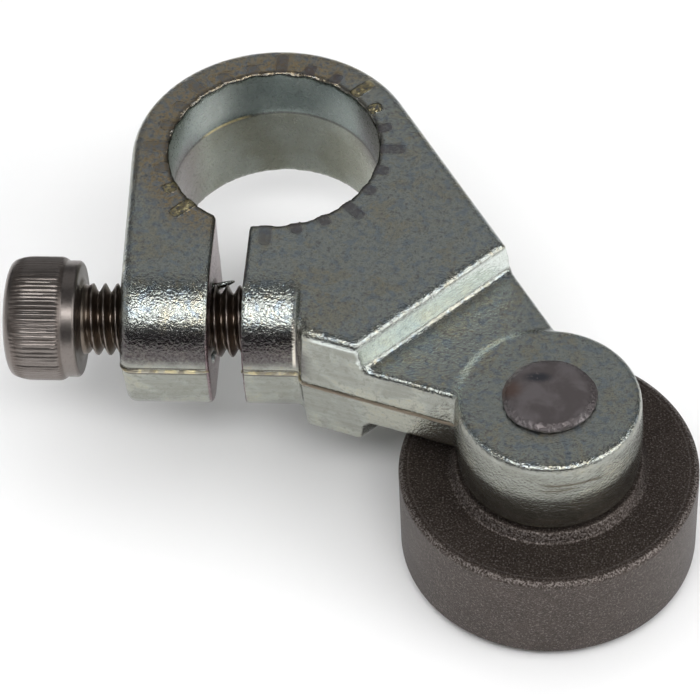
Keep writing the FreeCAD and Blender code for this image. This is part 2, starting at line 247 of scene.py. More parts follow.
class Shader:
    """One procedural material: a Principled surface and whatever feeds it."""

    def __init__(self, name, **uniform):
        self.material = bpy.data.materials.new(name)
        self.material.use_nodes = True
        self.tree = self.material.node_tree
        self.tree.nodes.clear()
        self.surface = self.node("ShaderNodeBsdfPrincipled")
        output = self.node("ShaderNodeOutputMaterial")
        self.tree.links.new(self.surface.outputs[0], output.inputs[0])
        for socket, value in uniform.items():
            self.surface.inputs[socket.replace("_", " ")].default_value = value
        place = self.node("ShaderNodeTexCoord").outputs["Object"]
        scaled = self.node("ShaderNodeVectorMath", {"operation": "SCALE"}, {0: place, 3: 1 / MM})
        self.place = scaled.outputs[0]

    def node(self, kind, settings=None, values=()):
        """A node of a type, with its settings first and then the values or links of its sockets."""
        node = self.tree.nodes.new(kind)
        for key, value in (settings or {}).items():
            setattr(node, key, value)
        pairs = values.items() if isinstance(values, dict) else enumerate(values)
        for key, value in pairs:
            source = value.socket if isinstance(value, Value) else value
            if isinstance(source, bpy.types.NodeSocket):
                self.tree.links.new(source, node.inputs[key])
            else:
                node.inputs[key].default_value = source
        return node

    def vector_math(self, operation, *values):
        return self.node("ShaderNodeVectorMath", {"operation": operation}, values).outputs[0]

    def shift(self, centre):
        """Object coordinates in millimetres from a centre."""
        return self.vector_math("SUBTRACT", self.place, tuple(centre))

    def stretch(self, vector, scales):
        """A vector with each of its coordinates multiplied by a scale."""
        return self.vector_math("MULTIPLY", vector, tuple(scales))

    def parts(self, vector):
        """The three coordinates of a vector as values."""
        split = self.node("ShaderNodeSeparateXYZ", None, [vector])
        return [Value(self, socket) for socket in split.outputs]

    def reach(self, vector, scales):
        """Distance from the origin after the vector is scaled, which drops an axis scaled by
        nothing."""
        scaled = self.stretch(vector, scales)
        length_of = self.node("ShaderNodeVectorMath", {"operation": "LENGTH"}, [scaled])
        return Value(self, length_of.outputs["Value"])

    def noise(self, scale, detail=2.0, vector=None, rough=0.5, warp=0.0):
        """Fractal noise of so many cells in a millimetre, from about 0.25 to 0.75."""
        values = {"Vector": vector or self.place, "Scale": scale, "Detail": detail,
                  "Roughness": rough, "Distortion": warp}
        return Value(self, self.node("ShaderNodeTexNoise", None, values).outputs[0])

    def blend(self, factor, first, second):
        """A colour between two, by a factor from 0 to 1."""
        tints = [value if isinstance(value, bpy.types.NodeSocket) else (*value, 1.0)
                 for value in (first, second)]
        settings = {"data_type": "RGBA", "blend_type": "MIX", "clamp_factor": True}
        values = {0: factor, 6: tints[0], 7: tints[1]}
        return self.node("ShaderNodeMix", settings, values).outputs[2]

    def facing(self):
        """Upward part of the surface's own direction."""
        geometry = self.node("ShaderNodeNewGeometry").outputs["Normal"]
        return self.parts(geometry)[2]

    def bump(self, height):
        """A bumped direction from a height in millimetres."""
        values = {"Height": height, "Strength": 1.0, "Distance": MM}
        return self.node("ShaderNodeBump", None, values).outputs[0]

    def feed(self, **sockets):
        """Link values to the surface's sockets and give back the material."""
        for name, value in sockets.items():
            source = value.socket if isinstance(value, Value) else value
            self.tree.links.new(source, self.surface.inputs[name.replace("_", " ")])
        return self.material


# ------------------------------------------------ finishes
# A mask is a value from 0 to 1. Places are in millimetres, and noise has so many cells in one.
# A slope is the upward part of the surface's direction, from -1 to 1.

BLUE_SPECKLE = (0.30, 0.38, 0.46)
WALL_STAIN = (0.265, 0.268, 0.235)
RAMP_PAINTED_HIGHLIGHT = (0.80, 0.86, 0.82)
NOSE_SHADE = (0.050, 0.034, 0.043)
FOLD_PAINTED_HIGHLIGHT = (0.95, 0.90, 0.78)
SEAM_SHADE = (0.075, 0.060, 0.050)
RIM_SHADE = (0.17, 0.14, 0.10)
BOSS_SHADE = (0.16, 0.15, 0.13)
BOSS_SCRATCH = (0.12, 0.10, 0.07)
SLOT_PURPLE = (0.34, 0.22, 0.26)
BORE_ABOVE_STEP = (0.235, 0.285, 0.275)
BORE_BELOW_STEP = (0.305, 0.315, 0.255)
BORE_CLOUD_AND_SHEEN = (0.52, 0.57, 0.54)
BORE_RIGHT_SHADE = (0.12, 0.09, 0.11)
BORE_LEFT_SHADE = (0.17, 0.14, 0.15)
BORE_STEP_SHADE = (0.10, 0.09, 0.085)
# Turn of the line across the hub near which the graduations get a painted highlight.
HIGHLIT_MARKS_TURN = math.radians(53.0)


def bore_tint(shader, tints, x, z, radius):
    """Colour inside the stepped bore: bluish above its step and olive below, clouded, with a
    painted pale reflection on the left, painted shade at the ends where it turns away, and along
    the step a painted dark line of shade that turns to a painted yellow highlight on the left."""
    cloud = shader.noise(0.22, 2.0, vector=shader.shift((4.0, 9.0, 2.0)))
    side = x / radius
    tone = shader.blend(z.rise(1.35, 1.25), BORE_ABOVE_STEP, BORE_BELOW_STEP)
    # Painted reflection: the left side drawn paler, in the same colour as the clouding.
    left_sheen = side.band(-0.85, -0.45, 0.25) * z.rise(1.0, 2.6)
    tone = shader.blend(cloud.rise(0.35, 0.65) * 0.35 + left_sheen * 0.75, tone, BORE_CLOUD_AND_SHEEN)
    tone = shader.blend(side.rise(0.66, 0.90) * z.rise(-1.0, 2.0) * 0.7, tone, BORE_RIGHT_SHADE)
    tone = shader.blend(side.rise(-0.70, -0.97) * z.rise(3.5, 1.0) * 0.75, tone, BORE_LEFT_SHADE)
    # Painted light on the step: a dark line of shade, with a yellow highlight on the left.
    step = z.band(1.22, 1.46, 0.06)
    tone = shader.blend(step * 0.6, tone, BORE_STEP_SHADE)
    return shader.blend(step * side.rise(-0.30, -0.42) * side.rise(-0.80, -0.70), tone, tints.gold_and_highlight)


def cast_finish(tints):
    """Zinc-plated die casting: blue-grey and finely grained on top, smooth and faintly streaked on
    the walls, with yellow passivation in patches, brown passivation round the graduations and
    purple
    in the slot. Light is painted in too: yellow highlights on the graduations near one line, a pale
    highlight on the ramp, a band of shade along the noses, a highlight down the right lug's fold
    and shade beside the seam."""
    shader = Shader("plated_casting", Metallic=1.0)
    x, y, z = shader.parts(shader.place)
    radius = shader.reach(shader.place, (1, 1, 0))
    from_boss = shader.reach(shader.shift(ROLLER_CENTRE), (1, 1, 0))
    up = shader.facing()

    upright = abs(up).rise(0.5, 0.3)
    top = up.rise(0.35, 0.85)
    bore = radius.rise(9.0, 8.8) * upright
    slot = abs(x + 2.9).band(1.1, 1.5, 0.05) * y.rise(-7.5, -8.0) * upright
    smooth = bore.most(slot)
    nose = y.rise(-14.0, -17.0) * x.rise(4.5, 3.0)
    ring = radius.rise(13.0, 9.8) * top * (x - y * 0.6).rise(6.0, -3.0)
    marks = z.rise(MARKED_FACE + 0.015, MARKED_FACE + 0.05) * up.rise(0.2, 0.5)

    grain = shader.noise(4.6, 2.0, rough=0.6)
    fine = shader.noise(13.0, 2.0)
    patches = shader.noise(0.30, 3.0, warp=0.8)
    specks = shader.noise(2.2, 6.0, rough=0.75)
    blue = shader.noise(1.3, 4.0, vector=shader.shift((31.0, 17.0, 5.0)))
    streaks = shader.noise(1.0, 3.0, vector=shader.stretch(shader.place, (0.25, 0.25, 3.2)))

    # The plating: warm patches, brown film round the graduations, speckle and stained walls.
    warm = patches.rise(0.48, 0.62) * 0.30 + specks.rise(0.53, 0.64) * 0.35
    tone = shader.blend(warm, tints.cast, tints.cast_warm)
    tone = shader.blend(ring * specks.rise(0.40, 0.54) * 0.75, tone, tints.rust)
    dark = specks.rise(0.50, 0.34) * (top * 0.34 + 0.14) + ring * specks.rise(0.55, 0.40) * 0.18
    tone = shader.blend(dark * (1 - smooth), tone, tints.cast_dark)
    tone = shader.blend(blue.rise(0.50, 0.64) * top * 0.45, tone, BLUE_SPECKLE)
    stain = streaks.rise(0.56, 0.40) * 0.14 + patches.rise(0.60, 0.42) * 0.35
    stain = stain + specks.rise(0.47, 0.38) * 0.5 + 0.42
    tone = shader.blend(stain * (1 - top), tone, WALL_STAIN)

    # The ramp over the arm, painted pale as a highlight; the noses with a band of painted shade, a
    # painted highlight down the right lug's fold and painted shade beside the seam; and the bore's
    # rim.
    ramp = z.band(3.5, 5.5, 0.25) * (x - y * 0.4).rise(12.0, 13.0) * up.band(0.16, 0.5, 0.06)
    tone = shader.blend(ramp * (0.50 + specks * 0.6), tone, RAMP_PAINTED_HIGHLIGHT)
    shaded = nose * z.band(0.8, 3.7, 0.6) * (1 - smooth)
    tone = shader.blend(shaded * (1.20 - grain * 0.90), tone, NOSE_SHADE)
    # Painted highlight: a bright streak down the fold where the right lug's nose meets the arm.
    fold = nose * z.band(0.9, 4.2, 0.4) * x.band(2.62, 2.86, 0.09)
    tone = shader.blend(fold * 0.8, tone, FOLD_PAINTED_HIGHLIGHT)
    seam = abs(z).band(0.27, 0.38, 0.05) * (1 - top) * (1 - smooth) * (nose * 0.8 + 0.1)
    tone = shader.blend(seam, tone, SEAM_SHADE)
    rim = radius.rise(9.25, 8.95) * z.rise(5.2, 5.5) * (1 - bore)
    tone = shader.blend(rim * 0.55, tone, RIM_SHADE)

    # The graduations: dark on the right of the hub, and a painted yellow highlight on those near
    # one line across it.
    worn = marks * specks.rise(0.38, 0.50) * (x.rise(-4.0, 3.0) * 0.5 + 0.2)
    tone = shader.blend(worn, tone, tints.cast_dark)
    # Painted highlight: graduations near that line drawn bright yellow.
    off_line = abs(x * math.cos(HIGHLIT_MARKS_TURN) - y * math.sin(HIGHLIT_MARKS_TURN)) / radius
    lit = marks * off_line.rise(0.30, 0.18) * specks.rise(0.42, 0.52)
    tone = shader.blend(lit * 0.9, tone, tints.gold_and_highlight)

    # The boss's side, the slot and the bore.
    under_boss = from_boss.rise(8.0, 7.6) * (1 - top) * z.rise(0.9, -0.3)
    tone = shader.blend(under_boss * 0.08, tone, BOSS_SHADE)
    dashes = from_boss.band(7.1, 7.6, 0.1) * z.band(0.9, 1.9, 0.2) * x.rise(22.0, 23.5)
    dashes = dashes * streaks.rise(0.50, 0.56) * y.rise(-30.0, -31.0)
    tone = shader.blend(dashes * 0.8, tone, BOSS_SCRATCH)
    tone = shader.blend(slot * 0.6, tone, SLOT_PURPLE)
    tone = shader.blend(bore * 0.92, tone, bore_tint(shader, tints, x, z, radius))

    rough = 0.17 + grain * 0.12 + smooth * 0.05 + marks * 0.08
    coarse = grain * 0.075 + fine * 0.008 + specks * 0.012
    coarse = coarse * (1 - smooth * 0.92) * (0.6 + top * 0.4)
    swell = shader.noise(0.5, 2.0) * 0.05
    height = coarse + swell + bore * streaks * 0.008 + lit * shader.noise(3.0, 2.0) * 0.5
    return shader.feed(Base_Color=tone, Roughness=rough, Normal=shader.bump(height))


def flash_finish(tints):
    """The parting flash: brighter and yellower than the walls on the noses, partly plating that
    caught its edge and partly a painted highlight, and dull brown away from the noses."""
    shader = Shader("flash_painted_highlight", Metallic=1.0)
    x, y = shader.parts(shader.place)[:2]
    streak = shader.noise(1.6, 3.0)
    gaps = shader.noise(0.9, 2.0, vector=shader.shift((3.0, 8.0, 1.0)))
    nose = y.rise(-18.0, -19.0) * x.rise(3.6, 3.2)
    # Painted highlight on the noses, mixed with the flash's yellow plating.
    bright = shader.blend(streak.rise(0.42, 0.62) * 0.7, (0.52, 0.49, 0.40), tints.gold_and_highlight)
    bright = shader.blend(gaps.rise(0.52, 0.42) * 0.6, bright, (0.20, 0.17, 0.13))
    tone = shader.blend(nose, (0.25, 0.21, 0.16), bright)
    rough = 0.28 + streak * 0.2
    height = shader.noise(6.0, 2.0) * 0.05
    return shader.feed(Base_Color=tone, Roughness=rough, Normal=shader.bump(height))


def screw_finish(tints):
    """Satin stainless steel with lines along the turned surfaces, dark specks, and painted shade in
    the grooves and down in the thread's roots."""
    shader = Shader("screw_steel", Metallic=1.0)
    radius = shader.reach(shader.shift(SCREW_CENTRE), (0, 1, 1))
    lines = shader.noise(1.0, 3.0, vector=shader.stretch(shader.place, (9.0, 0.7, 0.7)))
    specks = shader.noise(4.0, 3.0)
    shaft = radius.rise(3.3, 3.1)
    root = shaft * radius.rise(2.9, 2.5)
    groove = radius.rise(5.03, 4.93) * radius.rise(4.78, 4.84)
    # Painted shade in the thread's roots and the grooves, with dark specks.
    recess_shade_and_specks = root * 0.5 + specks.rise(0.5, 0.36) * 0.22 + groove * 0.55
    tone = shader.blend(recess_shade_and_specks, tints.steel, (0.14, 0.115, 0.10))
    # Painted shade deep in the thread.
    tone = shader.blend(shaft * radius.rise(3.0, 2.85) * 0.75, tone, (0.17, 0.135, 0.105))
    rough = 0.22 + lines * 0.12 + specks * 0.10 + groove * 0.1
    height = lines * 0.010 + specks * 0.008
    return shader.feed(Base_Color=tone, Roughness=rough, Normal=shader.bump(height))


def roller_finish(tints):
    """Browned sintered steel: dark with fine bright pores, faint turning rings and bright edges,
    partly worn and partly a painted highlight."""
    shader = Shader("roller_steel", Metallic=0.85)
    local = shader.shift(ROLLER_CENTRE)
    radius = shader.reach(local, (1, 1, 0))
    off_middle = abs(shader.parts(local)[2])
    half_width = (ROLLER_HIGH - ROLLER_LOW) / 2
    pores = shader.noise(6.5, 3.0, rough=0.65)
    patches = shader.noise(0.3, 3.0, warp=0.4)
    # Painted highlight along the rim, the collars' edges and a line inside the rim, with wear.
    edge = radius.rise(11.52, 11.7) * off_middle.rise(half_width - 1.15, half_width - 0.9)
    collar = radius.band(7.35, 8.05, 0.1) * off_middle.rise(half_width - 1.0, half_width - 0.6)
    ring = radius.band(11.2, 11.32, 0.06) * off_middle.rise(half_width - 1.3, half_width - 1.1)
    worn = edge * pores.rise(0.42, 0.62) * 0.7 + collar * pores.rise(0.42, 0.62) * 0.4 + ring * 0.2
    side = radius.rise(11.85, 11.95)
    tone = shader.blend(patches.rise(0.4, 0.62) * 0.2, tints.roller, (0.13, 0.105, 0.092))
    tone = shader.blend(pores.rise(0.53, 0.66) * 0.55, tone, tints.roller_bright_and_sheen)
    tone = shader.blend(pores.rise(0.47, 0.36) * 0.7, tone, (0.022, 0.018, 0.016))
    tone = shader.blend(side * 0.15, tone, (0.145, 0.128, 0.120))
    tone = shader.blend(worn, tone, tints.roller_bright_and_sheen)
    turning = (radius * 21.0 + patches * 3.0).sine() * 0.0012
    rough = 0.40 + pores * 0.12 - worn * 0.10
    height = pores * 0.07 + turning + shader.noise(1.2, 2.0) * 0.03
    return shader.feed(Base_Color=tone, Roughness=rough, Normal=shader.bump(height))


def rivet_finish(tints):
    """Peened steel: a smooth purple-grey face with smears, pits round its edge, one dark scar and
    one brown spot."""
    shader = Shader("rivet_steel", Metallic=0.95)

    def from_spot(across, along, scales):
        middle = (ROLLER_CENTRE[0] + across, ROLLER_CENTRE[1] + along, RIVET_HIGH)
        return shader.reach(shader.shift(middle), scales)

    smears = shader.noise(0.5, 4.0, warp=0.3)
    pits = shader.noise(3.5, 3.0)
    edge = from_spot(0.0, 0.0, (1, 1, 0)).rise(2.9, 3.6) * pits.rise(0.42, 0.60)
    brown = from_spot(-3.0, 0.3, (1, 1, 0.2)).rise(1.3, 0.3)
    scar = from_spot(-0.9, 1.5, (0.8, 1.6, 0.2)).rise(1.2, 0.3) * pits.rise(0.32, 0.44)
    tone = shader.blend(smears.rise(0.38, 0.62) * 0.7, tints.rivet, (0.34, 0.31, 0.315))
    tone = shader.blend(edge * 0.6, tone, (0.10, 0.09, 0.09))
    tone = shader.blend(brown * 0.6, tone, (0.20, 0.12, 0.09))
    tone = shader.blend(scar * 0.9, tone, (0.08, 0.085, 0.10))
    rough = 0.36 + smears * 0.14 + edge * 0.1
    height = smears * 0.02 + pits * 0.012 + edge * 0.06
    return shader.feed(Base_Color=tone, Roughness=rough, Normal=shader.bump(height))


# ------------------------------------------------ surfaces worked out with arrays

def soften(corners, radius, steps=6):
    """A line through corners, each corner replaced by a parabola that leaves and meets the sides a
    radius away, or as far as 45 hundredths of the shorter side. A corner's own radius may be given
    as a list."""
    corners = np.asarray(corners, float)
    before = np.diff(corners, axis=0)
    sizes = np.linalg.norm(before, axis=1)
    shorter = np.minimum(sizes[:-1], sizes[1:])
    cut = np.minimum(np.broadcast_to(radius, shorter.shape), 0.45 * shorter)[:, None]
    inner = corners[1:-1]
    leave = inner - before[:-1] / sizes[:-1, None] * cut
    meet = inner + before[1:] / sizes[1:, None] * cut
    t = np.linspace(0, 1, steps)[None, :, None]
    curves = ((1 - t) ** 2 * leave[:, None] + 2 * t * (1 - t) * inner[:, None]
              + t ** 2 * meet[:, None])
    return np.vstack([corners[:1], curves.reshape(-1, corners.shape[1]), corners[-1:]])


def step_along(path, spacing):
    """Points added along a line so that no step is longer than the spacing, its own points kept."""
    run = np.concatenate([[0.0], np.cumsum(np.linalg.norm(np.diff(path, axis=0), axis=1))])
    stations = np.union1d(run, np.arange(0.0, run[-1], spacing))
    return np.column_stack([np.interp(stations, run, places) for places in path.T])


def turned(profile, columns, axis, centre, reshape=None):
    """Surface of revolution: each profile point (height along the axis, radius) is swept through a
    full turn, so a point is centre + height along the axis + radius * (cos angle, sin angle) across
    it. The radii and heights may first be reshaped by a function of height, angle and radius."""
    angle = np.arange(columns) * FULL_TURN / columns
    height = np.repeat(profile[:, :1], columns, axis=1)
    radius = np.repeat(profile[:, 1:], columns, axis=1)
    if reshape:
        radius, height = reshape(height, angle[None, :], radius)
    points = np.empty(radius.shape + (3,))
    first, second = ((axis + 1) % 3, (axis + 2) % 3)
    points[..., axis] = height + centre[axis]
    points[..., first] = radius * np.cos(angle) + centre[first]
    points[..., second] = radius * np.sin(angle) + centre[second]
    return points


def make_piece(name, grids, material, body, stands_for=None, smooth_angle=32.0):
    """A mesh from grids of points in millimetres. Rows run along a shell and columns close round
    it. The poles' repeated points are merged, and faces are turned outward."""
    points = []
    quads = []
    count = 0
    for grid in grids:
        rows, columns = grid.shape[:2]
        index = np.arange(rows * columns).reshape(rows, columns) + count
        following = np.roll(index, -1, axis=1)
        corners = [index[:-1], following[:-1], following[1:], index[1:]]
        quads.append(np.stack(corners, axis=-1).reshape(-1, 4))
        points.append(grid.reshape(-1, 3))
        count += rows * columns
    mesh = bpy.data.meshes.new(name)
    mesh.from_pydata((np.vstack(points) * MM).tolist(), [], np.vstack(quads).tolist())
    return finish_piece(name, mesh, material, body, stands_for, smooth_angle)


def finish_piece(name, mesh, material, body, stands_for, smooth_angle):
    """Merge doubles, turn faces outward, shade smoothly up to an angle, and hang the piece on its
    CAD body."""
    work = bmesh.new()
    work.from_mesh(mesh)
    bmesh.ops.remove_doubles(work, verts=work.verts, dist=2e-7)
    bmesh.ops.dissolve_degenerate(work, edges=work.edges, dist=1e-8)
    bmesh.ops.recalc_face_normals(work, faces=work.faces)
    work.to_mesh(mesh)
    work.free()
    mesh.shade_smooth()
    mesh.set_sharp_from_angle(angle=math.radians(smooth_angle))
    mesh.materials.clear()
    mesh.materials.append(material)
    piece = bpy.data.objects.new(name, mesh)
    bpy.context.scene.collection.objects.link(piece)
    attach(piece, body)
    if stands_for:
        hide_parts(stands_for)
    return piece


def cast_skin(cell):
    """The lever's CAD solid rebuilt as an even skin: a merged copy is divided into cells and
    lightly relaxed."""
    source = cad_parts["lever_body"].data.copy()
    work = bmesh.new()
    work.from_mesh(source)
    bmesh.ops.remove_doubles(work, verts=work.verts, dist=1e-6)
    work.to_mesh(source)
    work.free()
    rough = bpy.data.objects.new("rough_lever", source)
    bpy.context.scene.collection.objects.link(rough)
    remesh = rough.modifiers.new("cells", "REMESH")
    remesh.mode = "VOXEL"
    remesh.voxel_size = cell
    relax = rough.modifiers.new("relax", "SMOOTH")
    relax.factor = 0.5
    relax.iterations = 2
    bpy.context.view_layer.update()
    graph = bpy.context.evaluated_depsgraph_get()
    mesh = bpy.data.meshes.new_from_object(rough.evaluated_get(graph))
    bpy.data.objects.remove(rough)
    return mesh


def round_edge(points, depths, inward, radius, near):
    """Round the edge where two faces meet. A point's depths inside the faces are the two legs of a
    right angle; where both are under the radius, the point is pulled in along the faces' inward
    directions until it lies on the quarter circle that touches both."""
    legs = np.clip(radius - depths, 0, None)
    length = np.hypot(*legs)
    inside = near & (depths[0] < radius) & (depths[1] < radius)
    share = np.clip(length - radius, 0, None) * inside / np.maximum(length, 1e-6)
    return points + share[:, None] * (legs[0][:, None] * inward[0] + legs[1][:, None] * inward[1])


def round_left_lug(points, corner_round, foot_round):
    """Round the left lug's outer corner, first between its side and its nose, then along its foot.
    The side is a plane that leans and drafts away from the parting plane. The nose is half a
    cylinder above that plane and a drafted plane below it. The foot's round fades out towards the
    hub."""
    to_inside, upward = np.array([1.0, 0.0, 0.0]), np.array([0.0, 0.0, 1.0])
    nose_axis = HALF_HEIGHT - LUG_FRONT
    hub_end, fade_length = -9.0, 2.0

    def depth_in_side(points):
        x, y, z = points.T
        wall = -HUB_RADIUS / math.cos(SIDE_LEAN) - y * math.tan(SIDE_LEAN)
        return (x - wall) * math.cos(SIDE_LEAN) - np.abs(z) * math.tan(DRAFT)

    y, z = points[:, 1], points[:, 2]
    forward = np.minimum(y - nose_axis, 0)
    above = np.maximum(z, 0)
    reach = np.hypot(forward, above)
    nose = np.where(z > 0, HALF_HEIGHT - reach, y + LUG_FRONT - np.abs(z) * math.tan(DRAFT))
    to_axis = np.column_stack([np.zeros(len(points)), -forward, -above])
    to_axis /= np.maximum(reach, 1e-6)[:, None]
    to_axis[z <= 0] = (0.0, 1.0, 0.0)
    depths = np.stack([depth_in_side(points), nose])
    points = round_edge(points, depths, (to_inside, to_axis), corner_round, y < nose_axis + 1.0)

    y, z = points[:, 1], points[:, 2]
    depths = np.stack([depth_in_side(points), z + HALF_HEIGHT])
    fade = np.clip((hub_end - y) / fade_length, 0, 1)
    radius = np.maximum(foot_round * fade, 1e-3)
    return round_edge(points, depths, (to_inside, upward), radius, y < hub_end)


# ------------------------------------------------ operators, one for each piece and the stage

class LEVER_OT_cast_lever(bpy.types.Operator):
    """Rebuild the lever's casting as an even skin with soft edges and plate it"""
    bl_idname = "roller_lever.cast_lever"
    bl_label = "Cast lever"
    mark_flattening = 0.45

    def execute(self, context):
        sizes = context.scene.lever_sizes
        mesh = cast_skin(sizes.cell)
        points = np.empty(len(mesh.vertices) * 3)
        mesh.vertices.foreach_get("co", points)
        points = round_left_lug(points.reshape(-1, 3) / MM, sizes.corner / MM, sizes.foot / MM)
        points[:, 2] -= self.mark_flattening * np.clip(points[:, 2] - MARKED_FACE, 0, None)
        mesh.vertices.foreach_set("co", (points * MM).ravel())
        finish = cast_finish(context.scene.lever_finishes)
        finish_piece("cast_lever", mesh, finish, "lever", "lever_body", 60.0)
        return {"FINISHED"}


class LEVER_OT_clamp_screw(bpy.types.Operator):
    """Turn the clamp screw: hexagon socket, knurled head, plain collar and a helical thread"""
    bl_idname = "roller_lever.clamp_screw"
    bl_label = "Clamp screw"

    def execute(self, context):
        sizes = context.scene.screw_sizes
        seat = SCREW_HEAD_END + sizes.head_length / MM
        grids = [self.head_surface(sizes, seat), self.shaft_surface(sizes, seat)]
        finish = screw_finish(context.scene.lever_finishes)
        make_piece("screw_skin", grids, finish, "screw", "clamp_screw", 40.0)
        return {"FINISHED"}

    def head_surface(self, sizes, seat):
        """The head's profile turned from the socket's floor over the outside to the seat. In the
        socket a radius is divided by the cosine of the angle from the nearest flat's middle, which
        gives a hexagon. On the knurl grooves are cut as deep as 1 - |cos(half the ribs * angle)|,
        unevenly round the head."""
        head, collar, socket = sizes.head / MM, sizes.collar / MM, sizes.socket_half / MM
        floor = SCREW_HEAD_END + sizes.socket_depth / MM
        step = seat - sizes.collar_length / MM
        bend = sizes.head_round / MM
        cone, socket_chamfer, seat_chamfer, under_head, neck = 0.5, 0.15, 0.22, 3.5, 3.05
        inside = step_along(np.array([
            [floor + cone, 0.0], [floor, socket], [SCREW_HEAD_END + socket_chamfer, socket],
        ]), 0.5)
        rounds = [0.6, 0.6, 0.6, 0.4, 0.1, 0.2, 0.2, 0.2, 0.2, 0.2]
        outside = step_along(soften([
            [SCREW_HEAD_END, socket * 1.18], [SCREW_HEAD_END, head - bend],
            [SCREW_HEAD_END + bend * 0.25, head - bend * 0.28],
            [SCREW_HEAD_END + bend * 1.15, head], [step - 0.45, head], [step, collar],
            [seat - seat_chamfer, collar], [seat, collar - seat_chamfer], [seat, under_head],
            [seat + 0.2, neck], [seat + 0.2, 1.0], [seat + 0.2, 0.0],
        ], rounds), 0.25)
        ribs = sizes.knurls
        groove = sizes.knurl_depth / MM

        def shape_head(height, angle, radius):
            sixth = FULL_TURN / 6
            hexagon = 1 / np.cos((angle % sixth) - sixth / 2)
            row = np.arange(len(height))[:, None]
            radius = np.where(row < len(inside), radius * hexagon, radius)
            start = np.clip((height - SCREW_HEAD_END - 0.65) / 0.6, 0, 1)
            stop = np.clip((step - 0.22 - height) / 0.25, 0, 1)
            drift = 0.45 * np.sin(angle * 9 + 2) + 0.3 * np.sin(angle * 23)
            rib = np.abs(np.cos(angle * ribs / 2 + drift))
            uneven = 0.75 + 0.35 * np.sin(angle * 5 + 1) * np.sin(angle * 17)
            uneven = uneven + 0.10 * np.sin(height * 2.1 + angle * 31)
            cut = groove * start * stop * uneven * (1 - rib) * (radius > head - 0.5)
            return radius - cut, height

        profile = np.vstack([inside, outside])
        return turned(profile, ribs * 6, 0, (0.0, SCREW_CENTRE[1], SCREW_CENTRE[2]), shape_head)

    def shaft_surface(self, sizes, seat):
        """A plain rod whose radius is then reshaped: the thread's phase is the height in pitches
        less the share of a turn, and the radius rises from root to crest along straight flanks on
        either side of each crest. The thread grows out of a plain neck under the head and is
        chamfered at the tip."""
        crest, root, pitch = sizes.crest / MM, sizes.root / MM, sizes.pitch / MM
        rod, core, plain_low, plain_high = 3.05, 2.3, 2.84, 2.86
        shaft = step_along(np.array([
            [seat - 0.5, 0.0], [seat - 0.5, rod], [seat + 0.05, rod], [SCREW_TIP, rod],
            [SCREW_TIP, 1.0], [SCREW_TIP, 0.0],
        ]), pitch / 14)

        def shape_thread(height, angle, radius):
            run_in = np.clip((height - seat - 0.2) / 0.9, 0, 1)
            run_in = run_in * run_in * (3 - 2 * run_in)
            phase = (height - seat) / pitch - angle / FULL_TURN + 0.30
            from_crest = 1 - np.abs(2 * (phase % 1.0) - 1)
            flank = np.clip((0.90 - from_crest) / 0.76, 0, 1)
            low = plain_low + (root - plain_low) * run_in
            high = plain_high + (crest - plain_high) * run_in
            neck = 0.32 * np.clip(1 - (height - seat) / 0.35, 0, 1) ** 2
            thread = np.minimum(low + (high - low) * flank + neck, core + SCREW_TIP - height)
            return np.where(radius > 3.0, thread, np.minimum(radius, core)), height

        return turned(shaft, 84, 0, (0.0, SCREW_CENTRE[1], SCREW_CENTRE[2]), shape_thread)


class LEVER_OT_roller(bpy.types.Operator):
    """Turn the roller with its rim, two raised collars and the recess for the rivet's flange"""
    bl_idname = "roller_lever.roller"
    bl_label = "Roller"

    def execute(self, context):
        sizes = context.scene.roller_sizes
        rim = sizes.rim / MM
        chamfer = sizes.chamfer / MM
        step = sizes.collar_step / MM
        face = sizes.collar_face / MM
        foot = sizes.collar_foot / MM
        bore = sizes.bore / MM
        recess = sizes.recess / MM
        depth = sizes.recess_depth / MM
        top = ROLLER_HIGH - step
        low = ROLLER_LOW + step
        inner = ROLLER_LOW + depth
        middle = (ROLLER_HIGH + ROLLER_LOW) / 2
        profile = soften([
            [middle, bore], [ROLLER_HIGH, bore], [ROLLER_HIGH, face], [top, foot],
            [top, rim - chamfer], [top - chamfer * 0.6, rim], [low + chamfer * 0.6, rim],
            [low, rim - chamfer], [low, foot], [ROLLER_LOW, face], [ROLLER_LOW, recess],
            [inner, recess], [inner, bore], [middle, bore],
        ], 0.16)
        grid = turned(step_along(profile, 0.6), 192, 2, (ROLLER_CENTRE[0], ROLLER_CENTRE[1], 0.0))
        finish = roller_finish(context.scene.lever_finishes)
        make_piece("roller_skin", [grid], finish, "roller", "roller", 30.0)
        return {"FINISHED"}


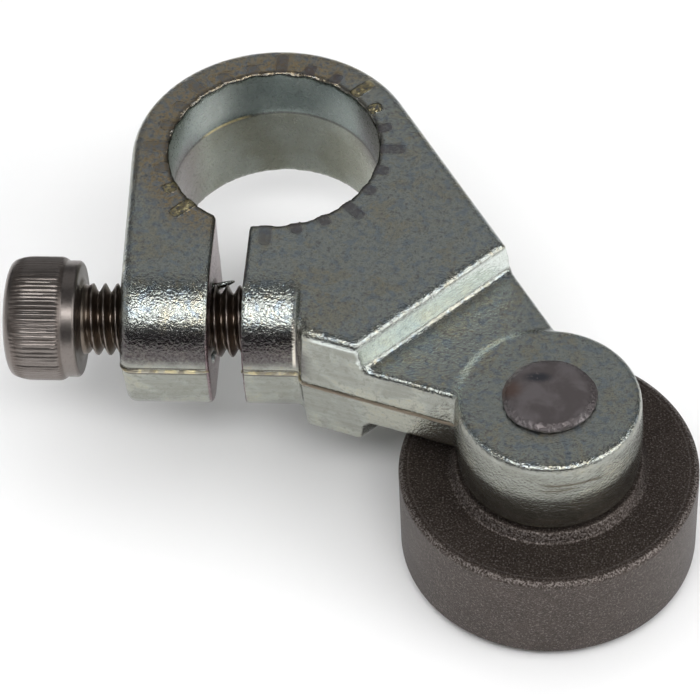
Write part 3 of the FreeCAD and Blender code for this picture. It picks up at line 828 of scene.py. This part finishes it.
class LEVER_OT_rivet(bpy.types.Operator):
    """Peen the rivet that holds the roller under the boss"""
    bl_idname = "roller_lever.rivet"
    bl_label = "Rivet"

    def execute(self, context):
        sizes = context.scene.roller_sizes
        peen = sizes.peen / MM
        rise = sizes.peen_height / MM
        shank = sizes.shank / MM
        pin = sizes.pin / MM
        flange = sizes.flange / MM
        thick = sizes.flange_height / MM
        seat = RIVET_HIGH - rise
        under = ROLLER_HIGH + 0.1
        ledge = RIVET_LOW + thick
        profile = soften([
            [RIVET_HIGH - 0.04, 0.0], [RIVET_HIGH, peen * 0.45], [RIVET_HIGH - 0.14, peen * 0.86],
            [seat + 0.28, peen], [seat + 0.02, peen * 0.97], [seat, shank - 0.02],
            [under, shank], [under, pin], [ledge, pin], [ledge, flange],
            [RIVET_LOW + 0.35, flange], [RIVET_LOW, flange - 0.35], [RIVET_LOW, 1.4],
            [RIVET_LOW + 0.25, 0.0],
        ], 0.25)

        def peened(height, angle, radius):
            head = np.clip((height - seat) / 0.2, 0, 1)
            share = radius / peen
            lobes = 0.05 * np.sin(2 * angle + 0.8) + 0.04 * np.sin(3 * angle + 2.0)
            lobes = lobes + 0.025 * np.sin(7 * angle) + 0.012 * np.sin(19 * angle + 0.5)
            tilt = 0.05 * np.sin(angle + 2.4) * share
            dent = 0.04 * np.cos(3 * angle + 1.0) * np.clip(share, 0, 1) ** 2
            radius = radius + head * lobes * np.clip(share, 0, 1)
            return radius, height + head * (tilt - np.abs(dent))

        centre = (ROLLER_CENTRE[0], ROLLER_CENTRE[1], 0.0)
        grid = turned(step_along(profile, 0.3), 144, 2, centre, peened)
        finish = rivet_finish(context.scene.lever_finishes)
        make_piece("rivet_skin", [grid], finish, "lever", "roller_rivet", 35.0)
        return {"FINISHED"}


def parting_runs():
    """The lever's outline at its parting plane as three open runs: along the left lug's nose to its
    clearance hole, from behind that hole round the hub to short of the boss, and from the arm's end
    back to the right lug's slot edge. The first two are one line (nose, side, then an arc round the
    hub) with the hole's stretch left out."""
    arc = np.linspace(math.pi + SIDE_LEAN, ARM_BACK_TURN, 90)
    ring = HUB_RADIUS * np.column_stack([np.cos(arc), np.sin(arc)])
    left_foot = -HUB_RADIUS / math.cos(SIDE_LEAN) + LUG_FRONT * math.tan(SIDE_LEAN)
    left = soften([[SLOT_LEFT, -LUG_FRONT], [left_foot, -LUG_FRONT], ring[0]], 1.0, 8)
    left = step_along(left, 0.5)
    nose = left[left[:, 1] < HOLE_FRONT]
    along = np.array([math.sin(ARM_BACK_TURN), -math.cos(ARM_BACK_TURN)])
    boss_side = ring[-1] + along * ((ROLLER_CENTRE[:2] - ring[-1]) @ along)
    behind_hole = left[left[:, 1] > HOLE_BACK][:-1]
    hub_run = step_along(np.vstack([behind_hole, ring, boss_side - along * 5]), 0.5)

    def arm_front(x):
        return -ARM_FRONT_REACH / math.cos(ARM_FRONT_SLOPE) - x * math.tan(ARM_FRONT_SLOPE)

    arm = soften([
        [SLOT_RIGHT, -LUG_FRONT], [LUG_RIGHT, -LUG_FRONT], [LUG_RIGHT + 0.2, arm_front(LUG_RIGHT)],
        [ARM_FRONT_END, arm_front(ARM_FRONT_END)],
    ], 0.3)
    return nose, hub_run, step_along(arm, 0.5)[::-1]


def flash_ridge(path, height, half):
    """A ridge carried along a plan line: at each point half an ellipse stands out of the wall by
    the height, half a thickness above and below the plan, and its foot is sunk inside the wall.
    Both sizes are full on the noses, three tenths on the arm and a tenth along the hub, and taper
    at either end of the line, where the ridge closes to a point."""
    sunk = 0.3
    ahead = np.gradient(path, axis=0)
    ahead /= np.linalg.norm(ahead, axis=1)[:, None]
    outward = np.column_stack([-ahead[:, 1], ahead[:, 0]])
    x, y = path.T
    run = np.arange(len(path))
    on_nose = np.clip((-18.6 - y) / 0.6, 0, 1) * np.clip((x + 12.0) / 1.2, 0, 1)
    on_arm = np.clip((x - 3.2) / 1.0, 0, 1) * np.clip((-15.0 - y) / 2.0, 0, 1)
    share = 0.10 + 0.90 * np.maximum(on_nose, on_arm * 0.22)
    ragged = 1 + 0.16 * np.sin(run * 0.9) * np.sin(run * 0.37 + 1) + 0.10 * np.sin(run * 2.3)
    taper = np.clip(np.minimum(run, run[::-1]) / 2.0, 0.02, 1)
    out = height * share * ragged * taper
    thick = half * share * taper * (1 + 0.12 * np.sin(run * 0.61))
    corners = [np.column_stack([path - outward * sunk, np.zeros(len(path))])]
    for turn in np.radians([-90.0, -65.0, -35.0, 0.0, 35.0, 65.0, 90.0]):
        edge = path + outward * (out * math.cos(turn))[:, None]
        corners.append(np.column_stack([edge, thick * math.sin(turn)]))
    grid = np.stack(corners, axis=1)
    start, stop = (np.repeat(grid[index].mean(axis=0)[None, None], grid.shape[1], axis=1)
                   for index in (0, -1))
    return np.concatenate([start, grid, stop])


def spike(base, tip, thick, sides=8, rings=12):
    """A straight tapering thorn: circles round the line from base to tip, whose radius falls with
    the square root of what is left, closed to a point at both ends."""
    base, tip = np.asarray(base), np.asarray(tip)
    along = np.linspace(0, 1, rings)[:, None]
    spine = base + (tip - base) * along
    angle = np.arange(sides) * FULL_TURN / sides
    size = thick * np.sqrt(1.0 - 0.97 * along)
    circles = np.stack([np.zeros((rings, sides)), size * np.cos(angle), size * np.sin(angle)],
                       axis=-1)
    start, stop = (np.repeat(spine[index][None, None], sides, axis=1) for index in (0, -1))
    return np.concatenate([start, spine[:, None] + circles, stop])


class LEVER_OT_flash(bpy.types.Operator):
    """Lay the thin flash along the casting's parting line and the burr at the screw hole"""
    bl_idname = "roller_lever.flash"
    bl_label = "Parting flash"

    def execute(self, context):
        sizes = context.scene.lever_sizes
        height, half = sizes.flash_height / MM, sizes.flash_half / MM
        grids = [flash_ridge(run, height, half) for run in parting_runs()]
        finish = flash_finish(context.scene.lever_finishes)
        make_piece("parting_flash", grids, finish, "lever")
        reach = sizes.burr_length / MM
        high_foot, low_foot = (-4.45, -11.45, 1.15), (-4.45, -12.1, 0.1)
        burrs = [
            spike(high_foot, (high_foot[0] + reach, -11.0, 1.5), 0.36),
            spike(low_foot, (low_foot[0] + 0.45 * reach, -11.9, 0.3), 0.30),
        ]
        make_piece("hole_burr", burrs, bpy.data.materials["plated_casting"], "lever")
        return {"FINISHED"}


class LEVER_OT_stage(bpy.types.Operator):
    """Set a plain pale floor, soft studio light and the camera"""
    bl_idname = "roller_lever.stage"
    bl_label = "Stage"

    def execute(self, context):
        scene = context.scene
        scene.view_settings.view_transform = "Standard"
        scene.collection.objects.link(self.floor(scene.lever_finishes.floor))
        world = bpy.data.worlds.new("studio")
        world.use_nodes = True
        background = world.node_tree.nodes["Background"]
        background.inputs["Color"].default_value = (0.95, 0.96, 1.0, 1.0)
        background.inputs["Strength"].default_value = 0.08
        scene.world = world
        add_lamp("overhead", place=(0.0, -0.245, 0.375), size=(0.42, 0.10), radiance=6.7)
        add_lamp("behind", place=(0.0, 0.75, 0.80), size=(1.4, 0.9), radiance=0.27)
        add_lamp("left", place=(-0.60, -0.05, 0.25), size=(0.5, 0.4), radiance=0.5)
        add_lamp("right", place=(0.55, -0.18, 0.33), size=(0.42, 0.36), radiance=3.2)
        wash = add_lamp("floor_wash", place=(0.0, 0.0, 1.2), size=(2.0, 2.0), radiance=1.3)
        wash.visible_glossy = False
        scene.camera = add_camera()
        return {"FINISHED"}

    def floor(self, tint):
        """A plain pale square under the lowest point of the CAD."""
        low = CAD_BOX[0][2]
        reach = 1.5
        corners = [(-reach, -reach, low), (reach, -reach, low), (reach, reach, low),
                   (-reach, reach, low)]
        mesh = bpy.data.meshes.new("floor")
        mesh.from_pydata(corners, [], [(0, 1, 2, 3)])
        shader = Shader("pale_floor", Roughness=0.9, Specular_IOR_Level=0.1)
        shade = shader.noise(0.02, 2.0)
        mesh.materials.append(shader.feed(Base_Color=shader.blend(shade, tint, (0.92, 0.92, 0.92))))
        floor = bpy.data.objects.new("floor", mesh)
        return floor


def add_lamp(name, place, size, radiance):
    """A soft rectangular lamp of a given radiance at a place, turned towards the object."""
    data = bpy.data.lights.new(name, "AREA")
    data.shape = "RECTANGLE"
    data.size, data.size_y = size
    data.energy = radiance * math.pi * size[0] * size[1]
    lamp = bpy.data.objects.new(name, data)
    lamp.location = place
    lamp.rotation_euler = (-Vector(place)).to_track_quat("-Z", "Y").to_euler()
    bpy.context.scene.collection.objects.link(lamp)
    return lamp


def add_camera():
    """A long lens that looks down from a little right of the front, rolled a little, with the
    object off its axis."""
    azimuth, elevation, roll = map(math.radians, (CAMERA_AZIMUTH, CAMERA_ELEVATION, CAMERA_ROLL))
    side = Vector((math.cos(azimuth), math.sin(azimuth), 0))
    level = Vector((-math.sin(azimuth), math.cos(azimuth), 0))
    ahead = level * math.cos(elevation) - Vector((0, 0, math.sin(elevation)))
    up = side.cross(ahead)
    rolled_side = side * math.cos(roll) + up * math.sin(roll)
    rolled_up = up * math.cos(roll) - side * math.sin(roll)
    place = -MM * (rolled_side * CAMERA_RIGHT - rolled_up * CAMERA_DOWN + ahead * CAMERA_DISTANCE)
    data = bpy.data.cameras.new("camera")
    data.sensor_width = CAMERA_SENSOR
    data.lens = CAMERA_LENS
    data.clip_start = 0.01
    data.clip_end = 10.0
    camera = bpy.data.objects.new("camera", data)
    axes = Matrix((rolled_side, rolled_up, -ahead)).transposed().to_4x4()
    camera.matrix_world = Matrix.Translation(place) @ axes
    bpy.context.scene.collection.objects.link(camera)
    return camera


STEPS = (LEVER_OT_cast_lever, LEVER_OT_flash, LEVER_OT_clamp_screw, LEVER_OT_roller, LEVER_OT_rivet,
         LEVER_OT_stage)
GROUPS = {"lever_sizes": LeverSizes, "screw_sizes": ScrewSizes, "roller_sizes": RollerSizes,
          "lever_finishes": Finishes}


class LEVER_PT_panel(bpy.types.Panel):
    """Buttons for the lever's pieces and the sizes they use"""
    bl_idname = "LEVER_PT_panel"
    bl_label = "Roller Lever"
    bl_space_type = "VIEW_3D"
    bl_region_type = "UI"
    bl_category = "Roller Lever"

    def draw(self, context):
        for step in STEPS:
            self.layout.operator(step.bl_idname)
        for key, group in GROUPS.items():
            box = self.layout.box()
            for name in group.__annotations__:
                box.prop(getattr(context.scene, key), name)


def register():
    for item in (*GROUPS.values(), *STEPS, LEVER_PT_panel):
        bpy.utils.register_class(item)
    for key, group in GROUPS.items():
        setattr(bpy.types.Scene, key, bpy.props.PointerProperty(type=group))


def unregister():
    for key in GROUPS:
        delattr(bpy.types.Scene, key)
    for item in reversed((*GROUPS.values(), *STEPS, LEVER_PT_panel)):
        bpy.utils.unregister_class(item)


def main():
    register()
    for step in STEPS:
        family, action = step.bl_idname.split(".")
        getattr(getattr(bpy.ops, family), action)()


if __name__ == "__main__":
    main()
